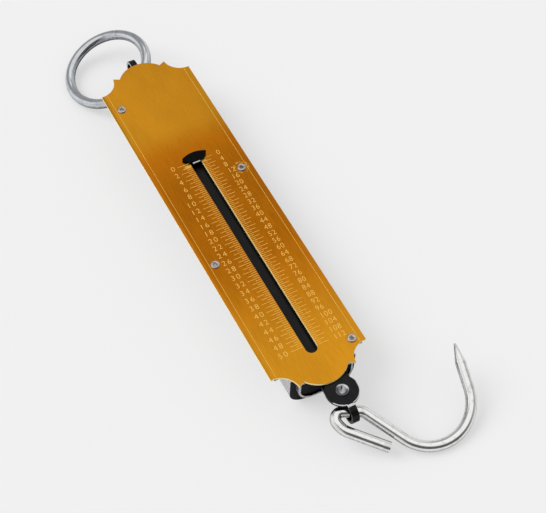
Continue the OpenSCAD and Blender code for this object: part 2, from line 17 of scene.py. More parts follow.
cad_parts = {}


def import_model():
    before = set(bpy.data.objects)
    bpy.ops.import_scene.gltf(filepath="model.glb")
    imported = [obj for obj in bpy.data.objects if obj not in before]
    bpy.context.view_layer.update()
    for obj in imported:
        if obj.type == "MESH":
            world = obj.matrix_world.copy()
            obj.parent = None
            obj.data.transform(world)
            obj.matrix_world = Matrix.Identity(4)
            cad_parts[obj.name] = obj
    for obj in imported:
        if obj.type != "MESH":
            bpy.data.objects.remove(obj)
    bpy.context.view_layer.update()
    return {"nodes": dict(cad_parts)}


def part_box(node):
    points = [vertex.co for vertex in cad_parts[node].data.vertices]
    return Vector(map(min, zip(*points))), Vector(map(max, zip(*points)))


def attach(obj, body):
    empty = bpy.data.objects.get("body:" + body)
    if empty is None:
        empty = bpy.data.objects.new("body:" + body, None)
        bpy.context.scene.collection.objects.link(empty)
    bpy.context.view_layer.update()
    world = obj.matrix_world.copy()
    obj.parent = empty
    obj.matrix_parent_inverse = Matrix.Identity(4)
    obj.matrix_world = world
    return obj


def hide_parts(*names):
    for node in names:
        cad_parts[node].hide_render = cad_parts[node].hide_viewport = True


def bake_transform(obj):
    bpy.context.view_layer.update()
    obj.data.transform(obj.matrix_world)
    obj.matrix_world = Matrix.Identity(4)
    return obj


LOG = logging.getLogger("spring_balance")
MM = 0.001
TURN = 2 * math.pi
Triple = tuple[float, float, float]
Colour = tuple[float, float, float, float]
Span = tuple[float, float]


def srgb(red: int, green: int, blue: int) -> Colour:
    """A display colour of 0 to 255 as the linear colour that shaders take.

    Args:
        red: red share on the display scale.
        green: green share on the display scale.
        blue: blue share on the display scale.

    Returns:
        The linear colour with full alpha.
    """
    linear = []
    for value in (red, green, blue):
        share = value / 255
        linear.append(share / 12.92 if share <= 0.04045 else ((share + 0.055) / 1.055) ** 2.4)
    return (linear[0], linear[1], linear[2], 1.0)


class Body(Enum):
    """Rigid bodies of the balance that a piece can ride on."""

    CASING = "root"
    SLIDER = "slider"
    SWIVEL = "swivel"
    HOOK = "hook"
    RING = "ring"


class Slot(IntEnum):
    """Material slots of a piece, and the bevels' own choice of their neighbours' slot."""

    NEIGHBOUR = -1
    MAIN = 0
    # The bright slot: bare cut edges, lighter rounded edges, bright walls, and painted glints and highlights.
    WORN = 1
    SIDE = 2


class Signal:
    """A number that flows between shader nodes and takes part in Python arithmetic."""

    def __init__(self, graph: "ShaderGraph", socket: bpy.types.NodeSocket) -> None:
        """Wraps one output socket.

        Args:
            graph: the graph that the socket belongs to.
            socket: the output socket.
        """
        self.graph = graph
        self.socket = socket

    def math(self, operation: str, *others: "float | Signal", clamp: bool = False) -> "Signal":
        """Adds one Math node whose first value is this signal.

        Args:
            operation: the Math node's operation.
            others: its second and third values.
            clamp: whether the result is held between 0 and 1.

        Returns:
            The node's result.
        """
        inputs = dict(enumerate((self, *others)))
        node = self.graph.node("ShaderNodeMath", {"operation": operation, "use_clamp": clamp}, inputs)
        return Signal(self.graph, node.outputs[0])

    def _swapped(self, operation: str, first: "float | Signal") -> "Signal":
        """Adds a Math node with this signal as its second value."""
        node = self.graph.node("ShaderNodeMath", {"operation": operation}, {0: first, 1: self})
        return Signal(self.graph, node.outputs[0])

    def __add__(self, other: "float | Signal") -> "Signal":
        """This signal plus another."""
        return self.math("ADD", other)

    def __radd__(self, other: float) -> "Signal":
        """A number plus this signal."""
        return self.math("ADD", other)

    def __sub__(self, other: "float | Signal") -> "Signal":
        """This signal less another."""
        return self.math("SUBTRACT", other)

    def __rsub__(self, other: float) -> "Signal":
        """A number less this signal."""
        return self._swapped("SUBTRACT", other)

    def __mul__(self, other: "float | Signal") -> "Signal":
        """This signal times another."""
        return self.math("MULTIPLY", other)

    def __rmul__(self, other: float) -> "Signal":
        """A number times this signal."""
        return self.math("MULTIPLY", other)

    def __truediv__(self, other: "float | Signal") -> "Signal":
        """This signal over another."""
        return self.math("DIVIDE", other)

    def __pow__(self, power: float) -> "Signal":
        """This signal raised to a power."""
        return self.math("POWER", power)

    def __abs__(self) -> "Signal":
        """The signal without its sign."""
        return self.math("ABSOLUTE")

    def clamped(self) -> "Signal":
        """The signal held between 0 and 1."""
        return self.math("ADD", 0.0, clamp=True)

    def ramp(self, low: float, high: float) -> "Signal":
        """A smooth step that is 0 at low and 1 at high, also where low is the greater.

        Args:
            low: the value at which the result is 0.
            high: the value at which the result is 1.

        Returns:
            The smoothed share between the two.
        """
        share = ((self - low) / (high - low)).clamped()
        return share * share * (3.0 - 2.0 * share)


class ShaderGraph:
    """The node graph of one material or of the world, with one method that adds nodes."""

    def __init__(self, tree: bpy.types.NodeTree) -> None:
        """Empties a node tree and works on it.

        Args:
            tree: the tree of a material or of the world.
        """
        self.tree = tree
        self.tree.nodes.clear()

    def node(
        self,
        kind: str,
        settings: Mapping[str, object] | None = None,
        inputs: Mapping[object, object] | None = None,
    ) -> bpy.types.Node:
        """Adds a node, sets its options and then fills its sockets.

        Args:
            kind: the node's type.
            settings: its properties by name.
            inputs: values, signals or sockets by the socket's name or number.

        Returns:
            The new node.
        """
        made = self.tree.nodes.new(kind)
        for name, value in (settings or {}).items():
            setattr(made, name, value)
        for name, value in (inputs or {}).items():
            socket = made.inputs[name]
            if isinstance(value, Signal):
                self.tree.links.new(value.socket, socket)
            elif isinstance(value, bpy.types.NodeSocket):
                self.tree.links.new(value, socket)
            else:
                socket.default_value = value
        return made

    def place(self, stretch: Triple = (1.0, 1.0, 1.0)) -> bpy.types.NodeSocket:
        """The place of a point on the object, in stretched millimetres.

        Args:
            stretch: how many pattern units there are to a millimetre along X, Y and Z.

        Returns:
            The vector socket.
        """
        here = self.node("ShaderNodeTexCoord").outputs["Object"]
        scale = tuple(share / MM for share in stretch)
        return self.node("ShaderNodeMapping", {}, {"Vector": here, "Scale": scale}).outputs["Vector"]

    def axes(self) -> tuple[Signal, Signal, Signal]:
        """The place of a point on the object in millimetres, as three signals."""
        parts = self.node("ShaderNodeSeparateXYZ", {}, {0: self.place()}).outputs
        return Signal(self, parts[0]), Signal(self, parts[1]), Signal(self, parts[2])

    def noise(self, stretch: Triple, detail: float = 3.0, rough: float = 0.5) -> Signal:
        """Cloudy noise between 0 and 1 over the object.

        Args:
            stretch: how many pattern units there are to a millimetre along X, Y and Z.
            detail: octaves of the noise.
            rough: strength of the finer octaves.

        Returns:
            The noise value.
        """
        values = {"Vector": self.place(stretch), "Scale": 1.0, "Detail": detail, "Roughness": rough}
        return Signal(self, self.node("ShaderNodeTexNoise", {}, values).outputs[0])

    def tint(
        self,
        share: "float | Signal",
        low: "Colour | bpy.types.NodeSocket",
        high: "Colour | bpy.types.NodeSocket",
        blend: str = "MIX",
    ) -> bpy.types.NodeSocket:
        """Mixes two colours.

        Args:
            share: 0 for the low colour and 1 for the high one.
            low: a colour or a colour socket.
            high: a colour or a colour socket.
            blend: the Mix node's way of blending.

        Returns:
            The mixed colour socket.
        """
        settings = {"data_type": "RGBA", "blend_type": blend}
        return self.node("ShaderNodeMix", settings, {0: share, 6: low, 7: high}).outputs[2]

    def bump(
        self, height: Signal, strength: float, depth: float, under: bpy.types.NodeSocket | None = None
    ) -> bpy.types.NodeSocket:
        """Turns a height signal into a bumped normal.

        Args:
            height: the height, 0 to 1.
            strength: strength of the bump.
            depth: metres from height 0 to height 1.
            under: the normal of a coarser bump that this one lies on.

        Returns:
            The normal socket.
        """
        values = {"Strength": strength, "Distance": depth, "Height": height}
        if under is not None:
            values["Normal"] = under
        return self.node("ShaderNodeBump", {}, values).outputs["Normal"]


def surface(name: str, inputs: Callable[[ShaderGraph], Mapping[object, object]]) -> bpy.types.Material:
    """Makes a material with one Principled shader.

    Args:
        name: the material's name.
        inputs: a function that adds nodes to the graph and returns the shader's sockets.

    Returns:
        The material.
    """
    material = bpy.data.materials.new(name)
    material.use_nodes = True
    graph = ShaderGraph(material.node_tree)
    shader = graph.node("ShaderNodeBsdfPrincipled", {}, inputs(graph))
    graph.node("ShaderNodeOutputMaterial", {}, {"Surface": shader.outputs[0]})
    return material


@dataclass(frozen=True)
class AnodisedBrass:
    """Gold anodised sheet, brushed lengthways, with a painted reflection: a darker middle, lighter ends and
    bright patches beside the pointer.
    """

    # Painted reflection: the face is darker in the middle and lighter towards both ends.
    middle: Colour = srgb(197, 116, 16)
    ends: Colour = srgb(203, 138, 30)
    # Bright colour of the painted reflection beside the pointer and of the scuffed ring round the eyelet.
    rubbed: Colour = srgb(250, 196, 84)
    darker: Colour = (0.8, 0.8, 0.8, 1.0)
    rough: float = 0.1
    streak_grain: Triple = (2.2, 0.12, 1.0)
    scratch_grain: Triple = (16.0, 0.25, 1.0)
    cloud_grain: Triple = (0.06, 0.03, 0.05)
    patch_grain: Triple = (0.9, 0.9, 1.0)
    streak_share: float = 0.6
    tone_edge: Span = (0.35, 0.65)
    upper_end: Span = (56.0, 38.0)
    lower_end: Span = (-85.0, -20.0)
    # The next values place a painted reflection: bright patches either side of the pointer's head.
    rub_y: float = 30.5
    rub_lean: float = 0.06
    rub_height: Span = (1.05, 0.55)
    rub_left: tuple[Span, Span] = ((-7.4, -3.4), (-2.0, -2.6))
    rub_right: tuple[Span, Span] = ((5.6, 3.0), (2.0, 2.6))
    rub_gain: float = 1.3
    rub_loss: float = 0.15
    rub_patches: float = 0.2
    scuff_x: float = 17.3
    scuff_y: float = 19.3
    scuff_r: float = 3.2
    scuff_band: Span = (0.9, 0.1)
    scuff_breaks: Span = (0.5, 0.6)
    scuff_share: float = 0.8
    roll_start: float = 20.9
    roll_width: float = 1.6
    roll_depth: float = 0.3 * MM
    streak_rough: float = 0.1
    worn_rough: float = 0.25
    grain_bump: float = 0.3
    grain_depth: float = 0.02 * MM

    def material(self) -> bpy.types.Material:
        """Builds the brushed gold material."""
        return surface("anodised_gold", self._sockets)

    def _sockets(self, graph: ShaderGraph) -> dict[object, object]:
        """Colour, roughness and grain of the brushed sheet."""
        x, y, _ = graph.axes()
        streaks = graph.noise(self.streak_grain, detail=4.0, rough=0.65)
        scratches = graph.noise(self.scratch_grain, detail=2.0, rough=0.6)
        clouds = graph.noise(self.cloud_grain, detail=2.0)
        brightened = self._worn(x, y, graph.noise(self.patch_grain, detail=4.0))
        # Painted reflection along Y, from the lighter ends to the darker middle.
        painted_reflection_tone = graph.tint(y.ramp(*self.upper_end) * y.ramp(*self.lower_end), self.ends, self.middle)
        tone = (streaks * self.streak_share + clouds * (1 - self.streak_share)).ramp(*self.tone_edge)
        base = graph.tint(tone, graph.tint(1.0, painted_reflection_tone, self.darker, "MULTIPLY"), painted_reflection_tone)
        over_edge = ((-1.0 * x - self.roll_start) / self.roll_width).clamped()
        rolled = graph.bump(1.0 - over_edge * over_edge, 1.0, self.roll_depth)
        grain = streaks * 0.5 + scratches * 0.5
        return {
            "Base Color": graph.tint(brightened, base, self.rubbed),
            "Metallic": 1.0,
            "Roughness": self.rough + streaks * self.streak_rough + brightened * self.worn_rough,
            "Normal": graph.bump(grain, self.grain_bump, self.grain_depth, rolled),
        }

    def _worn(self, x: Signal, y: Signal, patchy: Signal) -> Signal:
        """Where the face is brightened: a painted reflection beside the pointer's head, and a scuffed ring
        round the upper right eyelet.

        Args:
            x: millimetres across the face.
            y: millimetres along the face.
            patchy: cloudy noise that breaks the patches up.

        Returns:
            The bright share, 0 to 1.
        """
        left, right = (x.ramp(*fade) * x.ramp(*stop) for fade, stop in (self.rub_left, self.rub_right))
        band = abs(y - self.rub_y - x * self.rub_lean).ramp(*self.rub_height)
        # Painted reflection: bright patches either side of the pointer's head.
        beside = ((left + right) * self.rub_gain - self.rub_loss + patchy * self.rub_patches).clamped() * band
        away = ((x - self.scuff_x) ** 2.0 + (y - self.scuff_y) ** 2.0) ** 0.5
        broken = abs(away - self.scuff_r).ramp(*self.scuff_band) * patchy.ramp(*self.scuff_breaks)
        return (beside + broken * self.scuff_share).clamped()


@dataclass(frozen=True)
class BareCut:
    """Bright bare metal where the sheet was cut or engraved, also used for painted glints."""

    name: str
    low: Colour
    high: Colour
    rough: float = 0.4
    metal: float = 0.1
    chatter_grain: Triple = (3.0, 3.0, 3.0)
    chatter_edge: Span = (0.35, 0.65)
    chatter_rough: float = 0.15
    chatter_bump: float = 0.4
    chatter_depth: float = 0.02 * MM

    def material(self) -> bpy.types.Material:
        """Builds the bright cut material."""
        return surface(self.name, self._sockets)

    def _sockets(self, graph: ShaderGraph) -> dict[object, object]:
        """Uneven brightness of a tool's cut."""
        chatter = graph.noise(self.chatter_grain)
        return {
            "Base Color": graph.tint(chatter.ramp(*self.chatter_edge), self.low, self.high),
            "Metallic": self.metal,
            "Roughness": self.rough + chatter * self.chatter_rough,
            "Normal": graph.bump(chatter, self.chatter_bump, self.chatter_depth),
        }


@dataclass(frozen=True)
class BlackEnamel:
    """Stoved black paint with a satin skin, fine dust and faint rub marks."""

    name: str = "black_enamel"
    base: Colour = srgb(14, 14, 15)
    dust: Colour = srgb(76, 78, 80)
    rough: float = 0.26
    dusty: float = 0.4
    gloss: float = 0.16
    skin_grain: Triple = (2.2, 2.2, 2.2)
    speck_grain: Triple = (3.1, 2.3, 2.7)
    speck_edge: Span = (0.66, 0.74)
    smear_grain: Triple = (0.5, 0.12, 0.4)
    smear_edge: Span = (0.52, 0.72)
    smear_share: float = 0.06
    skin_rough: float = 0.12
    grime_rough: float = 0.2
    skin_bump: float = 0.25
    skin_depth: float = 0.02 * MM

    def material(self) -> bpy.types.Material:
        """Builds the black paint."""
        return surface(self.name, self._sockets)

    def _sockets(self, graph: ShaderGraph) -> dict[object, object]:
        """Paint colour, specks and skin."""
        skin = graph.noise(self.skin_grain)
        specks = graph.noise(self.speck_grain, detail=2.0, rough=0.7).ramp(*self.speck_edge)
        smears = graph.noise(self.smear_grain).ramp(*self.smear_edge)
        grime = (specks * self.dusty + smears * self.smear_share).clamped()
        return {
            "Base Color": graph.tint(grime, self.base, self.dust),
            "Roughness": self.rough + skin * self.skin_rough + grime * self.grime_rough,
            "Specular IOR Level": self.gloss,
            "Normal": graph.bump(skin, self.skin_bump, self.skin_depth),
        }


@dataclass(frozen=True)
class PlatedSteel:
    """Bright plated steel, with drawing marks, dull spots and, where asked for, painted shade on one side.

    The painted shade deepens against the direction upright, from the place point, both in millimetres.
    """

    name: str
    base: Colour
    dull: Colour
    rough: float
    spots: float = 0.5
    stained: float = 0.0
    upright: Triple = (0.0, 0.0, 1.0)
    point: Triple = (0.0, 0.0, 0.0)
    stain: Colour = srgb(66, 68, 72)
    stain_edge: Span = (1.5, -0.6)
    stain_wobble: float = 1.6
    grain: Triple = (0.8, 0.8, 0.8)
    blotch_grain: Triple = (0.35, 0.35, 0.35)
    blotch_edge: Span = (0.5, 0.68)
    wave_grain: Triple = (1.6, 1.6, 1.6)
    wave_share: float = 0.7
    fine_rough: float = 0.08
    blotch_rough: float = 0.12
    wave_bump: float = 0.16
    wave_depth: float = 0.03 * MM

    def material(self) -> bpy.types.Material:
        """Builds the plated metal."""
        return surface(self.name, self._sockets)

    def _sockets(self, graph: ShaderGraph) -> dict[object, object]:
        """Brightness, dull spots and fine waviness of the plating."""
        fine = graph.noise(self.grain, detail=4.0, rough=0.6)
        blotch = graph.noise(self.blotch_grain, detail=4.0, rough=0.6).ramp(*self.blotch_edge)
        wavy = graph.noise(self.wave_grain, detail=2.0)
        plating = graph.tint(blotch * self.spots, self.base, self.dull)
        # Painted shade: darker towards the low side along the direction upright.
        if self.stained > 0:
            parts = zip(graph.axes(), self.point, self.upright)
            first, second, third = ((place - start) * share for place, start, share in parts)
            shade_height = first + second + third + (fine - 0.5) * self.stain_wobble
            plating = graph.tint(shade_height.ramp(*self.stain_edge) * self.stained, plating, self.stain)
        return {
            "Base Color": plating,
            "Metallic": 1.0,
            "Roughness": self.rough + fine * self.fine_rough + blotch * self.blotch_rough * self.spots,
            "Normal": graph.bump(
                wavy * self.wave_share + fine * (1 - self.wave_share), self.wave_bump, self.wave_depth
            ),
        }


@dataclass(frozen=True)
class Finishes:
    """Every material of the balance, made once."""

    face: bpy.types.Material
    cut: bpy.types.Material
    burr: bpy.types.Material
    marks: bpy.types.Material
    shaded: bpy.types.Material
    wall: bpy.types.Material
    bend: bpy.types.Material
    enamel: bpy.types.Material
    rim: bpy.types.Material
    eyelet: bpy.types.Material
    ring: bpy.types.Material
    hook: bpy.types.Material
    spring: bpy.types.Material
    fastener: bpy.types.Material
    rivet: bpy.types.Material

    @classmethod
    def make(cls) -> "Finishes":
        """Builds every material."""
        bright, grey = srgb(206, 206, 210), srgb(176, 176, 180)
        wall = PlatedSteel("bright_trough_wall", bright, grey, rough=0.3, spots=0.4)
        cut = BareCut("bare_sheet_edge", srgb(250, 220, 140), srgb(255, 242, 190), rough=0.3, metal=0.15)
        shaded = BlackEnamel("shaded_enamel", srgb(5, 5, 5), srgb(40, 40, 42), dusty=0.15, gloss=0.05)
        # Lighter rounded edges: partly wear of the paint, partly a painted highlight.
        edge = BlackEnamel("rub_and_highlight_enamel_edge", srgb(60, 61, 64), srgb(170, 172, 176), dusty=0.8, gloss=0.8)
        # Painted shade on the ring's underside.
        ring = PlatedSteel(
            "chromed_ring_wire",
            srgb(206, 209, 213),
            srgb(140, 144, 150),
            rough=0.05,
            spots=0.3,
            stained=0.95,
            upright=(-0.3502, 0.0506, 0.9353),
            point=(-9.5, 110.3, 9.6),
        )
        # Painted shade along the hook's underside.
        hook = PlatedSteel(
            "zinc_plated_wire",
            srgb(238, 238, 236),
            srgb(180, 180, 180),
            rough=0.12,
            spots=0.4,
            stained=0.9,
            upright=(0.0, -0.3607, 0.9327),
            point=(2.0, -110.06, 12.53),
        )
        # Painted shade across the rivet's head, darker towards the lower left.
        rivet = PlatedSteel(
            "rolled_rivet",
            srgb(214, 214, 216),
            srgb(150, 150, 152),
            rough=0.12,
            stained=0.9,
            upright=(0.64, 0.77, 0.0),
            point=(2.3, -102.3, 0.0),
        )
        return cls(
            face=AnodisedBrass().material(),
            cut=cut.material(),
            # A painted glint along the slot's right edge.
            burr=BareCut("painted_slot_glint", srgb(242, 190, 88), srgb(255, 218, 128)).material(),
            marks=BareCut("engraved_marks", srgb(238, 172, 66), srgb(252, 206, 100)).material(),
            shaded=shaded.material(),
            wall=wall.material(),
            # Painted glint: light grey metal on the pointer's neck and on the swivel disc's lower rim.
            bend=BareCut("painted_glint_steel", srgb(196, 196, 200), srgb(236, 236, 238), metal=0.2).material(),
            enamel=BlackEnamel().material(),
            rim=edge.material(),
            eyelet=PlatedSteel("nickel_eyelet", srgb(196, 188, 180), srgb(140, 126, 108), 0.14).material(),
            ring=ring.material(),
            hook=hook.material(),
            spring=PlatedSteel("oiled_spring_wire", srgb(120, 122, 126), srgb(70, 66, 60), 0.28).material(),
            fastener=PlatedSteel("steel_fastener", srgb(150, 150, 150), srgb(84, 84, 86), 0.26).material(),
            rivet=rivet.material(),
        )


def placed(
    mesh: bmesh.types.BMesh, name: str, materials: Sequence[bpy.types.Material], smooth: bool = True
) -> bpy.types.Object:
    """Turns a bmesh into an object at the origin of the scene.

    Args:
        mesh: the mesh, which is freed.
        name: the name of the object and of its mesh.
        materials: its materials in slot order.
        smooth: whether it is shaded smooth.

    Returns:
        The object.
    """
    data = bpy.data.meshes.new(name)
    mesh.to_mesh(data)
    mesh.free()
    for material in materials:
        data.materials.append(material)
    if smooth:
        data.shade_smooth()
    made = bpy.data.objects.new(name, data)
    bpy.context.scene.collection.objects.link(made)
    return made


class Workshop:
    """Makes finished pieces from bmeshes and from the frame's nodes."""

    merge_gap: float = 0.002 * MM
    flat_angle: float = math.radians(0.6)
    sharp_angle: float = math.radians(32)
    bevel_angle: float = math.radians(35)
    bevel_steps: int = 2

    def __init__(self, nodes: Mapping[str, bpy.types.Object], finishes: Finishes) -> None:
        """Keeps what every sub-assembly needs.

        Args:
            nodes: the frame's CAD objects by name.
            finishes: the materials.
        """
        self.nodes = nodes
        self.finishes = finishes

    def finish(
        self,
        mesh: bmesh.types.BMesh,
        name: str,
        body: Body,
        materials: Sequence[bpy.types.Material],
        replaces: Sequence[str] = (),
    ) -> bpy.types.Object:
        """Turns a bmesh into a smooth-shaded piece that rides on a body.

        Args:
            mesh: the piece's mesh, which is freed.
            name: the piece's name.
            body: the body that it rides on.
            materials: its materials in slot order.
            replaces: the CAD nodes that it stands for.

        Returns:
            The piece.
        """
        piece = placed(mesh, name, materials)
        piece.data.set_sharp_from_angle(angle=self.sharp_angle)
        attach(piece, body.value)
        if replaces:
            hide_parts(*replaces)
        LOG.info("%s: %d faces on %s", name, len(piece.data.polygons), body.value)
        return piece

    def merged(self, node: str) -> bmesh.types.BMesh:
        """A copy of a CAD node's mesh with its loose triangles joined into whole faces.

        Args:
            node: the CAD node's name.

        Returns:
            The copy.
        """
        mesh = bmesh.new()
        mesh.from_mesh(self.nodes[node].data)
        bmesh.ops.remove_doubles(mesh, verts=mesh.verts[:], dist=self.merge_gap)
        bmesh.ops.dissolve_limit(
            mesh,
            angle_limit=self.flat_angle,
            verts=mesh.verts[:],
            edges=mesh.edges[:],
            use_dissolve_boundaries=False,
        )
        mesh.normal_update()
        return mesh

    def soften(self, piece: bpy.types.Object, width: float, edge: Slot = Slot.NEIGHBOUR) -> None:
        """Rounds a piece's sharp edges with a Bevel modifier.

        Args:
            piece: the piece.
            width: the rounding's width in metres.
            edge: the material slot of the rounding.
        """
        bevel = piece.modifiers.new("rounded_edges", "BEVEL")
        bevel.width = width
        bevel.segments = self.bevel_steps
        bevel.limit_method = "ANGLE"
        bevel.angle_limit = self.bevel_angle
        bevel.harden_normals = True
        bevel.material = edge
        bevel.use_clamp_overlap = True

    def pressed(
        self,
        node: str,
        body: Body,
        materials: Sequence[bpy.types.Material],
        width: float,
        edge: Slot = Slot.NEIGHBOUR,
    ) -> bpy.types.Object:
        """A part with softly rounded edges that stands for its CAD node.

        Args:
            node: the CAD node's name.
            body: the body that it rides on.
            materials: its materials in slot order.
            width: the rounding of its edges in metres.
            edge: the material slot of the rounding.

        Returns:
            The piece.
        """
        piece = self.finish(self.merged(node), node + "_finished", body, materials, [node])
        self.soften(piece, width, edge)
        return piece

    def dress(self, node: str, material: bpy.types.Material) -> None:
        """Gives a CAD node that stays as it is one material.

        Args:
            node: the CAD node's name.
            material: the material.
        """
        data = self.nodes[node].data
        data.materials.clear()
        data.materials.append(material)
        LOG.info("%s keeps its CAD form, in %s", node, material.name)


class Align(Enum):
    """End of a figure that lines up with its column."""

    LEFT = "LEFT"
    RIGHT = "RIGHT"


@dataclass
class ScaleSide:
    """One column of the engraved scale, with its figures and its graduation lines.

    It lies at side times a distance from the centre line. A figure stands at every fourth
    line and shows the line's number times share.
    """

    name: str
    side: int
    align: Align
    step: float
    last: int
    share: float
    figure_edge: float
    figure_space: float
    figure_narrow: float
    long_end: float
    middle_end: float
    short_end: float
    figure_every: int = 4
    middle_every: int = 2

    def line_end(self, index: int) -> float:
        """How far from the centre line a graduation reaches.

        Args:
            index: the graduation's number from zero.

        Returns:
            The distance in metres.
        """
        if index % self.figure_every == 0:
            return self.long_end
        if index % self.middle_every == 0:
            return self.middle_end
        return self.short_end


@dataclass
class FacePlate:
    """The gold face with its slot, its engraved scales and its border lines."""

    zero_y: float = 31.95 * MM
    kilogram: float = 2.192 * MM
    pounds_to_kilogram: float = 2.2046
    figure_height: float = 2.7 * MM
    digit_share: float = 0.7
    figure_thin: float = -0.011
    line_width: float = 0.2 * MM
    border_width: float = 0.16 * MM
    line_depth: float = 0.08 * MM
    proud: float = 0.012 * MM
    border_x: float = 19.85 * MM
    border_end: float = 85.6 * MM
    slot_edge: float = 2.72 * MM
    edge_rounding: float = 0.1 * MM
    upright: float = 0.5
    # Width of a painted glint along the slot's right edge; the graduations start beyond it.
    burr: float = 0.2 * MM
    burr_low: float = -79.0 * MM
    burr_high: float = 31.5 * MM

    def build(self, shop: Workshop) -> None:
        """Builds the plate, its graduations, figures and border lines."""
        self._top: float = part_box("face_plate")[1].z
        self._plate(shop)
        for side in self._sides():
            self._graduations(shop, side)
            self._figures(shop, side)
        self._borders(shop)
        self._slot_burr(shop)

    def _sides(self) -> tuple[ScaleSide, ScaleSide]:
        """The kilogram column on the left and the pound column on the right."""
        kilos = ScaleSide(
            name="kilogram",
            side=-1,
            align=Align.RIGHT,
            step=self.kilogram / 2,
            last=100,
            share=0.5,
            figure_edge=-10.1 * MM,
            figure_space=1.3,
            figure_narrow=1.0,
            long_end=8.8 * MM,
            middle_end=7.7 * MM,
            short_end=5.5 * MM,
        )
        pounds = ScaleSide(
            name="pound",
            side=1,
            align=Align.LEFT,
            step=self.kilogram / self.pounds_to_kilogram,
            last=112,
            share=1.0,
            figure_edge=10.8 * MM,
            figure_space=1.1,
            figure_narrow=0.92,
            long_end=8.35 * MM,
            middle_end=7.3 * MM,
            short_end=5.0 * MM,
        )
        return kilos, pounds

    def _plate(self, shop: Workshop) -> None:
        """The sheet itself, with bare metal on all its upright faces."""
        mesh = shop.merged("face_plate")
        for face in mesh.faces:
            face.material_index = Slot.WORN if abs(face.normal.z) < self.upright else Slot.MAIN
        materials = [shop.finishes.face, shop.finishes.cut]
        plate = shop.finish(mesh, "face_plate_finished", Body.CASING, materials, ["face_plate"])
        shop.soften(plate, self.edge_rounding)

    def _bar(self, mesh: bmesh.types.BMesh, low: tuple[float, float], high: tuple[float, float]) -> None:
        """Adds one engraved line as a strip let into the face.

        Args:
            mesh: the mesh that takes it.
            low: its lower left corner in the face.
            high: its upper right corner in the face.
        """
        size = Vector((high[0] - low[0], high[1] - low[1], self.line_depth))
        height = self._top + self.proud - self.line_depth / 2
        middle = Vector(((low[0] + high[0]) / 2, (low[1] + high[1]) / 2, height))
        made = bmesh.ops.create_cube(mesh, size=1.0)
        bmesh.ops.scale(mesh, vec=size, verts=made["verts"])
        bmesh.ops.translate(mesh, vec=middle, verts=made["verts"])

    def _graduations(self, shop: Workshop, side: ScaleSide) -> None:
        """The graduation lines of one column."""
        mesh = bmesh.new()
        for index in range(side.last + 1):
            y = self.zero_y - index * side.step
            ends = sorted((side.side * (self.slot_edge + self.burr), side.side * side.line_end(index)))
            self._bar(mesh, (ends[0], y - self.line_width / 2), (ends[1], y + self.line_width / 2))
        shop.finish(mesh, side.name + "_graduations", Body.CASING, [shop.finishes.marks])

    def _figures(self, shop: Workshop, side: ScaleSide) -> None:
        """The plain numbers of one column."""
        mesh = bmesh.new()
        for index in range(0, side.last + 1, side.figure_every):
            y = self.zero_y - index * side.step
            at = Vector((side.figure_edge, y, self._top + self.proud))
            self._figure(mesh, str(round(index * side.share)), at, side)
        shop.finish(mesh, side.name + "_figures", Body.CASING, [shop.finishes.marks])

    def _figure(self, mesh: bmesh.types.BMesh, text: str, at: Vector, side: ScaleSide) -> None:
        """Adds one plain number as thin strokes let into the face.

        Args:
            mesh: the mesh that takes it.
            text: the number.
            at: the middle of its aligned side, at the height of its face.
            side: the column that it belongs to.
        """
        font = bpy.data.curves.new("figure", "FONT")
        font.body = text
        font.align_x = side.align.value
        font.align_y = "CENTER"
        font.size = self.figure_height / self.digit_share
        font.offset = self.figure_thin * font.size
        font.extrude = self.line_depth / 2
        font.resolution_u = 3
        font.space_character = side.figure_space
        holder = bpy.data.objects.new("figure", font)
        bpy.context.scene.collection.objects.link(holder)
        bpy.context.view_layer.update()
        data = bpy.data.meshes.new_from_object(holder)
        narrow = Matrix.Diagonal((side.figure_narrow, 1.0, 1.0, 1.0))
        data.transform(Matrix.Translation(at - Vector((0, 0, self.line_depth / 2))) @ narrow)
        mesh.from_mesh(data)
        bpy.data.objects.remove(holder)
        bpy.data.curves.remove(font)
        bpy.data.meshes.remove(data)

    def _borders(self, shop: Workshop) -> None:
        """The two fine lines along the plate's long sides."""
        mesh = bmesh.new()
        half = self.border_width / 2
        for side in (-1, 1):
            x = side * self.border_x
            self._bar(mesh, (x - half, -self.border_end), (x + half, self.border_end))
        shop.finish(mesh, "border_lines", Body.CASING, [shop.finishes.marks])

    def _slot_burr(self, shop: Workshop) -> None:
        """A painted glint: a bright strip along the slot's right edge only, where light catches it."""
        mesh = bmesh.new()
        self._bar(mesh, (self.slot_edge, self.burr_low), (self.slot_edge + self.burr, self.burr_high))
        shop.finish(mesh, "slot_glint_strip", Body.CASING, [shop.finishes.burr])


